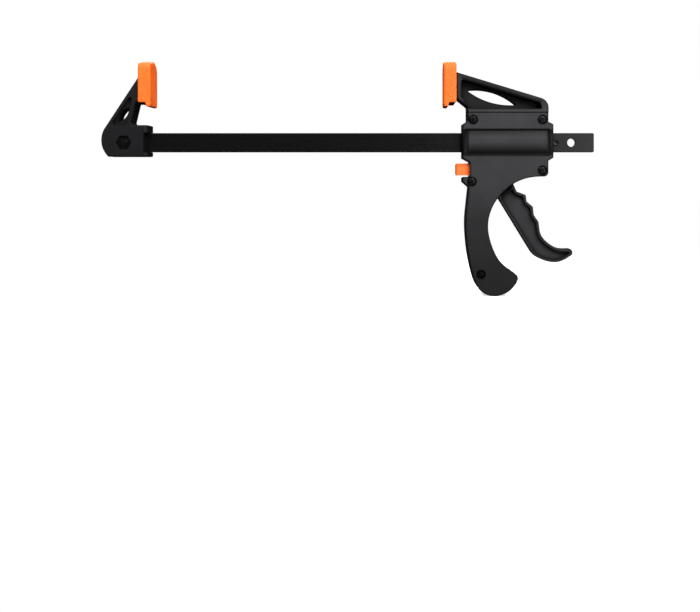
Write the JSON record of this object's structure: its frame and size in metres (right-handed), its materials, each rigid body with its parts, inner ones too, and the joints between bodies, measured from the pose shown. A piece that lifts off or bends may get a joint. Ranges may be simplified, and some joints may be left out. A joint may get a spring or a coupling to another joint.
{
  "type": "quick release bar clamp",
  "caption": "One-handed bar clamp: a trigger pumps the sliding jaw along a flat steel bar, a tilted plate holds it, and a button lets it go.",
  "frame": {"origin": "centre of the fixed pad's clamping face", "axes": "+X along the bar from the fixed jaw to the bar's tail, +Z towards the tips of the jaws, -Y the side that the shell screws are driven from"},
  "size_m": [0.3054, 0.0297, 0.1457],
  "materials": {
    "bar_steel": "smooth satin black finish over rolled flat steel",
    "bright_steel": "plain drawn steel",
    "dark_steel": "black oxide",
    "plate_steel": "stamped and hardened, faintly oily",
    "spring_steel": "bright spring wire",
    "black_plastic": "fine matte spark texture",
    "orange_rubber": "soft satin moulded rubber",
    "orange_plastic": "satin moulded plastic"
  },
  "bodies": {
    "bar": {"bar": "bar_steel", "stop_pin": "bright_steel", "fixed_jaw": "black_plastic", "fixed_jaw_pad": "orange_rubber", "jaw_nut": "dark_steel"},
    "knob": {"jaw_knob": "orange_plastic", "jaw_screw": "bright_steel"},
    "head": {"head_shell_front": "black_plastic", "head_shell_back": "black_plastic", "moving_jaw_pad": "orange_rubber", "shell_screws": "dark_steel", "grip_screw": "dark_steel", "trigger_pin": "bright_steel", "drive_spring": "spring_steel", "brake_spring": "spring_steel"},
    "trigger": {"trigger": "black_plastic"},
    "drive": {"drive_plate_left": "plate_steel", "drive_plate_right": "plate_steel"},
    "brake": {"brake_plate": "plate_steel"},
    "button": {"release_button": "orange_plastic"}
  },
  "joints": [
    {"name": "head_slide", "type": "slide", "parent": "bar", "child": "head", "axis": [-1, 0, 0], "range_m": [0, 0.1802]},
    {"name": "knob_turn", "type": "hinge", "parent": "bar", "child": "knob", "pos_m": [-0.017, 0, -0.0348], "axis": [0, 1, 0], "continuous": true},
    {"name": "trigger_squeeze", "type": "hinge", "parent": "head", "child": "trigger", "pos_m": [0.2175, 0, -0.0543], "axis": [0, 1, 0], "range_deg": [0, 20], "stiffness_Nm_per_rad": 0.12, "springref_deg": -17.19},
    {"name": "drive_feed", "type": "slide", "parent": "head", "child": "drive", "axis": [1, 0, 0], "range_m": [0, 0.0031], "deforming": ["drive_spring"]},
    {"name": "release_press", "type": "slide", "parent": "head", "child": "button", "axis": [1, 0, 0], "range_m": [0, 0.0021], "stiffness_N_per_m": 600, "springref_m": -0.003},
    {"name": "brake_tilt", "type": "hinge", "parent": "head", "child": "brake", "pos_m": [0.2046, 0, -0.0258], "axis": [0, -1, 0], "range_deg": [0, 4.7], "deforming": ["brake_spring"]}
  ],
  "couplings": [
    {"joint": "drive_feed", "follows": "trigger_squeeze", "m_per_rad": 0.00875},
    {"joint": "brake_tilt", "follows": "release_press", "rad_per_m": 38.9}
  ]
}
